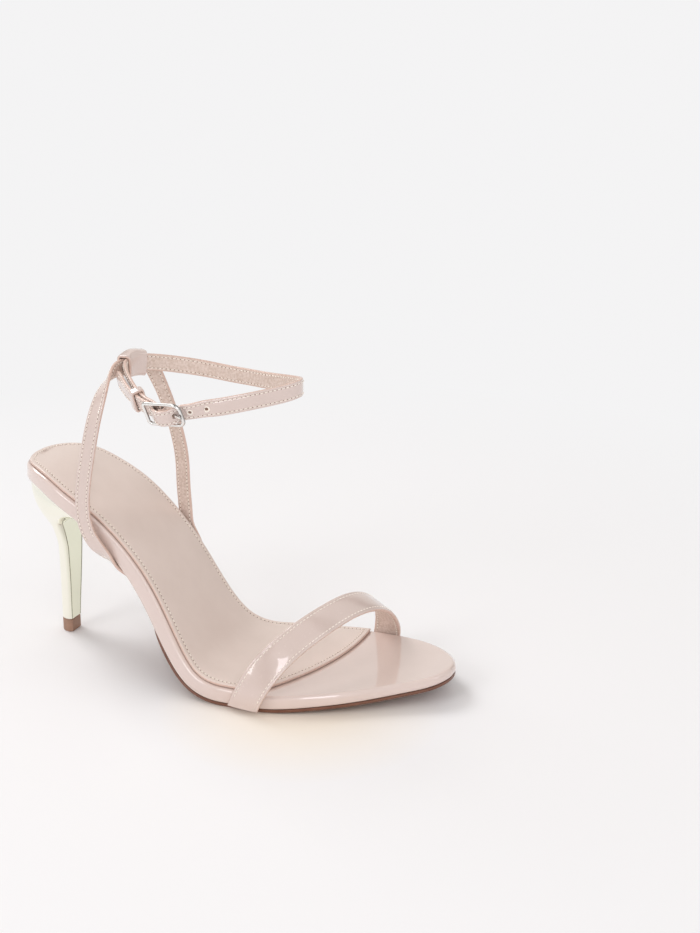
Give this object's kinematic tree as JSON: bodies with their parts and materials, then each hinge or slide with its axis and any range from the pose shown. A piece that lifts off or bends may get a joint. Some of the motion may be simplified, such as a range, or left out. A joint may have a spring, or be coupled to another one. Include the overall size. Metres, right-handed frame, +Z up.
{
  "type": "strappy heeled sandal",
  "caption": "Strappy sandal for the right foot: slim high heel, thin wrapped platform, a toe strap, slings up both sides and a buckled ankle strap.",
  "frame": {"origin": "centre of the heel tip's contact with the floor", "axes": "+Z up from the floor, +X toward the toe, +Y toward the inner side of the right foot"},
  "size_m": [0.217, 0.0882, 0.15],
  "materials": {
    "nude_patent": "glossy patent",
    "nude_satin": "satin",
    "gold_plate": "pale gold plating, polished",
    "brown_sole": "satin",
    "brown_tip": "satin",
    "silver_metal": "polished"
  },
  "bodies": {
    "root": {"outsole": "brown_sole", "insole_board": "nude_patent", "sock": "nude_satin", "heel": "gold_plate", "heel_tip": "brown_tip", "toe_strap": "nude_patent", "sling_strap": "nude_patent", "sling_loop": "nude_patent", "ankle_strap": "nude_patent", "strap_keeper": "nude_patent", "buckle_frame": "silver_metal", "buckle_prong": "silver_metal"}
  },
  "joints": []
}
